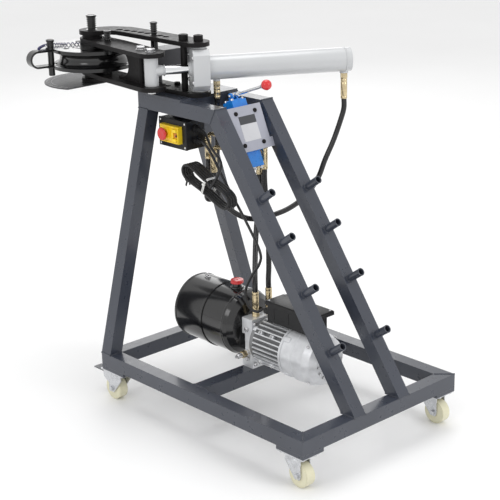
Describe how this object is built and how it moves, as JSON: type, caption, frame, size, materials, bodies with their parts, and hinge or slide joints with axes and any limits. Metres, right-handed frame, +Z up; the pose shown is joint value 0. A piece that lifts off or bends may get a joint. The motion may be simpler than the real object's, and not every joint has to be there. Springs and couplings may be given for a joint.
{
  "type": "electric tube bender",
  "caption": "Hydraulic tube bender: grooved die, swing arm and cylinder on a wheeled stand with pump, valve lever and stop switch.",
  "frame": {"origin": "floor level under the middle of the whole machine in plan", "axes": "+X from the bending head towards the sloping rack legs, +Y away from the switch side, +Z up"},
  "size_m": [1.181, 0.6451, 1.0503],
  "materials": {
    "frame_paint": "powder coat",
    "head_black": "satin black oxide",
    "dial_grey": "matt",
    "block_grey": "satin",
    "bolt_steel": "zinc plated",
    "tether_blue": "gloss",
    "cylinder_paint": "silver gloss",
    "ferrule_brass": "yellow zinc",
    "rod_chrome": "polished",
    "plate_grey": "satin",
    "valve_blue": "gloss",
    "knob_red": "gloss",
    "box_black": "textured",
    "switch_yellow": "semi gloss",
    "tank_black": "gloss",
    "pump_aluminium": "cast",
    "rotor_steel": "dark",
    "caster_zinc": "zinc plated",
    "wheel_cream": "semi matt",
    "pedal_grey": "semi matt",
    "hose_rubber": "satin",
    "cord_black": "satin"
  },
  "bodies": {
    "frame": {"base_rails": "frame_paint", "frame_plates": "frame_paint", "rear_legs": "frame_paint", "top_rails": "frame_paint", "rack_legs": "frame_paint", "storage_pegs": "frame_paint", "lower_link": "head_black", "upper_link": "head_black", "frame_bolts": "head_black", "degree_plate": "dial_grey", "valve_plate": "plate_grey", "valve_body": "valve_blue", "switch_bracket": "frame_paint", "switch_box": "box_black", "switch_housing": "switch_yellow", "oil_tank": "tank_black", "pump_manifold": "pump_aluminium", "motor_body": "pump_aluminium", "motor_cowl": "pump_aluminium", "capacitor_box": "box_black", "capacitor_lid": "box_black", "hydraulic_fittings": "ferrule_brass", "caster_plates": "caster_zinc", "rear_port_hose": "hose_rubber", "front_port_hose": "hose_rubber", "supply_hoses": "hose_rubber", "power_cord": "cord_black", "power_cord_coil": "cord_black", "mains_plug": "cord_black", "motor_cable": "cord_black"},
    "swing_arm": {"swing_arm": "head_black", "arm_bolts": "bolt_steel"},
    "bend_die": {"bend_die": "head_black", "tether_spring": "tether_blue"},
    "hook_strap": {"hook_strap": "head_black"},
    "hook_pin": {"hook_pin": "head_black"},
    "drive_pin": {"drive_pin": "head_black"},
    "die_pin": {"die_pin": "head_black"},
    "follow_pin": {"follow_pin": "head_black"},
    "follow_block": {"follow_block": "block_grey"},
    "cylinder": {"cylinder_barrel": "cylinder_paint", "cylinder_head": "cylinder_paint", "cylinder_fittings": "ferrule_brass"},
    "rod": {"piston_rod": "rod_chrome", "rod_end": "cylinder_paint"},
    "valve_lever": {"valve_lever": "rod_chrome", "lever_knob": "knob_red"},
    "stop_button": {"stop_button": "knob_red"},
    "filler_cap": {"filler_cap": "knob_red"},
    "motor_rotor": {"motor_rotor": "rotor_steel"},
    "fork_front_left": {"fork_front_left": "caster_zinc"},
    "wheel_front_left": {"wheel_front_left": "wheel_cream"},
    "fork_front_right": {"fork_front_right": "caster_zinc"},
    "wheel_front_right": {"wheel_front_right": "wheel_cream"},
    "fork_rear_left": {"fork_rear_left": "caster_zinc"},
    "wheel_rear_left": {"wheel_rear_left": "wheel_cream"},
    "fork_rear_right": {"fork_rear_right": "caster_zinc"},
    "wheel_rear_right": {"wheel_rear_right": "wheel_cream"},
    "brake_rear_left": {"brake_rear_left": "pedal_grey"},
    "brake_rear_right": {"brake_rear_right": "pedal_grey"}
  },
  "joints": [
    {"name": "arm_swing", "type": "hinge", "parent": "frame", "child": "swing_arm", "pos_m": [-0.4385, -0.13151, 0.936], "axis": [0, 0, -1], "range_deg": [0, 48]},
    {"name": "die_turn", "type": "hinge", "parent": "frame", "child": "bend_die", "pos_m": [-0.4385, -0.13151, 0.936], "axis": [0, 0, -1], "range_deg": [0, 48]},
    {"name": "cylinder_swivel", "type": "hinge", "parent": "frame", "child": "cylinder", "pos_m": [-0.0615, -0.05751, 0.936], "axis": [0, 0, 1], "range_deg": [0, 2.4]},
    {"name": "rod_slide", "type": "slide", "parent": "cylinder", "child": "rod", "axis": [-0.5091, -0.8607, 0], "range_m": [0, 0.2556]},
    {"name": "strap_pivot", "type": "hinge", "parent": "bend_die", "child": "hook_strap", "pos_m": [-0.4985, -0.23543, 0.936], "axis": [0, 0, 1], "range_deg": [-20, 20]},
    {"name": "hook_pin_pull", "type": "slide", "parent": "bend_die", "child": "hook_pin", "axis": [0, 0, 1], "range_m": [0, 0.09]},
    {"name": "drive_pin_pull", "type": "slide", "parent": "swing_arm", "child": "drive_pin", "axis": [0, 0, 1], "range_m": [0, 0.115]},
    {"name": "die_pin_pull", "type": "slide", "parent": "frame", "child": "die_pin", "axis": [0, 0, 1], "range_m": [0, 0.16]},
    {"name": "follow_pin_pull", "type": "slide", "parent": "frame", "child": "follow_pin", "axis": [0, 0, 1], "range_m": [0, 0.16]},
    {"name": "block_pivot", "type": "hinge", "parent": "frame", "child": "follow_block", "pos_m": [-0.2338, -0.07059, 0.936], "axis": [0, 0, 1], "range_deg": [-12, 12]},
    {"name": "lever_tilt", "type": "hinge", "parent": "frame", "child": "valve_lever", "pos_m": [0.05024, -0.03851, 0.87267], "axis": [0, 1, 0], "range_deg": [-12, 12], "stiffness_Nm_per_rad": 8},
    {"name": "stop_press", "type": "slide", "parent": "frame", "child": "stop_button", "axis": [0, 1, 0], "range_m": [0, 0.004], "stiffness_N_per_m": 800, "springref_m": -0.002},
    {"name": "cap_lift", "type": "slide", "parent": "frame", "child": "filler_cap", "axis": [0, 0, 1], "range_m": [0, 0.03]},
    {"name": "rotor_spin", "type": "hinge", "parent": "frame", "child": "motor_rotor", "pos_m": [0.3425, -0.05351, 0.217], "axis": [1, 0, 0], "continuous": true},
    {"name": "swivel_front_left", "type": "hinge", "parent": "frame", "child": "fork_front_left", "pos_m": [0.543, -0.29251, 0.08], "axis": [0, 0, 1], "continuous": true},
    {"name": "roll_front_left", "type": "hinge", "parent": "fork_front_left", "child": "wheel_front_left", "pos_m": [0.557, -0.29251, 0.0325], "axis": [0, 1, 0], "continuous": true},
    {"name": "swivel_front_right", "type": "hinge", "parent": "frame", "child": "fork_front_right", "pos_m": [0.543, 0.22549, 0.08], "axis": [0, 0, 1], "continuous": true},
    {"name": "roll_front_right", "type": "hinge", "parent": "fork_front_right", "child": "wheel_front_right", "pos_m": [0.557, 0.22549, 0.0325], "axis": [0, 1, 0], "continuous": true},
    {"name": "swivel_rear_left", "type": "hinge", "parent": "frame", "child": "fork_rear_left", "pos_m": [-0.18, -0.29251, 0.08], "axis": [0, 0, 1], "continuous": true},
    {"name": "roll_rear_left", "type": "hinge", "parent": "fork_rear_left", "child": "wheel_rear_left", "pos_m": [-0.194, -0.29251, 0.0325], "axis": [0, 1, 0], "continuous": true},
    {"name": "swivel_rear_right", "type": "hinge", "parent": "frame", "child": "fork_rear_right", "pos_m": [-0.18, 0.22549, 0.08], "axis": [0, 0, 1], "continuous": true},
    {"name": "roll_rear_right", "type": "hinge", "parent": "fork_rear_right", "child": "wheel_rear_right", "pos_m": [-0.194, 0.22549, 0.0325], "axis": [0, 1, 0], "continuous": true},
    {"name": "brake_press_rear_left", "type": "hinge", "parent": "fork_rear_left", "child": "brake_rear_left", "pos_m": [-0.224, -0.29251, 0.068], "axis": [0, -1, 0], "range_deg": [0, 12]},
    {"name": "brake_press_rear_right", "type": "hinge", "parent": "fork_rear_right", "child": "brake_rear_right", "pos_m": [-0.224, 0.22549, 0.068], "axis": [0, -1, 0], "range_deg": [0, 12]}
  ],
  "couplings": [
    {"joint": "die_turn", "follows": "arm_swing", "ratio": 1},
    {"joint": "cylinder_swivel", "follows": "arm_swing", "ratio": 0.05},
    {"joint": "rod_slide", "follows": "arm_swing", "m_per_rad": 0.30463}
  ]
}
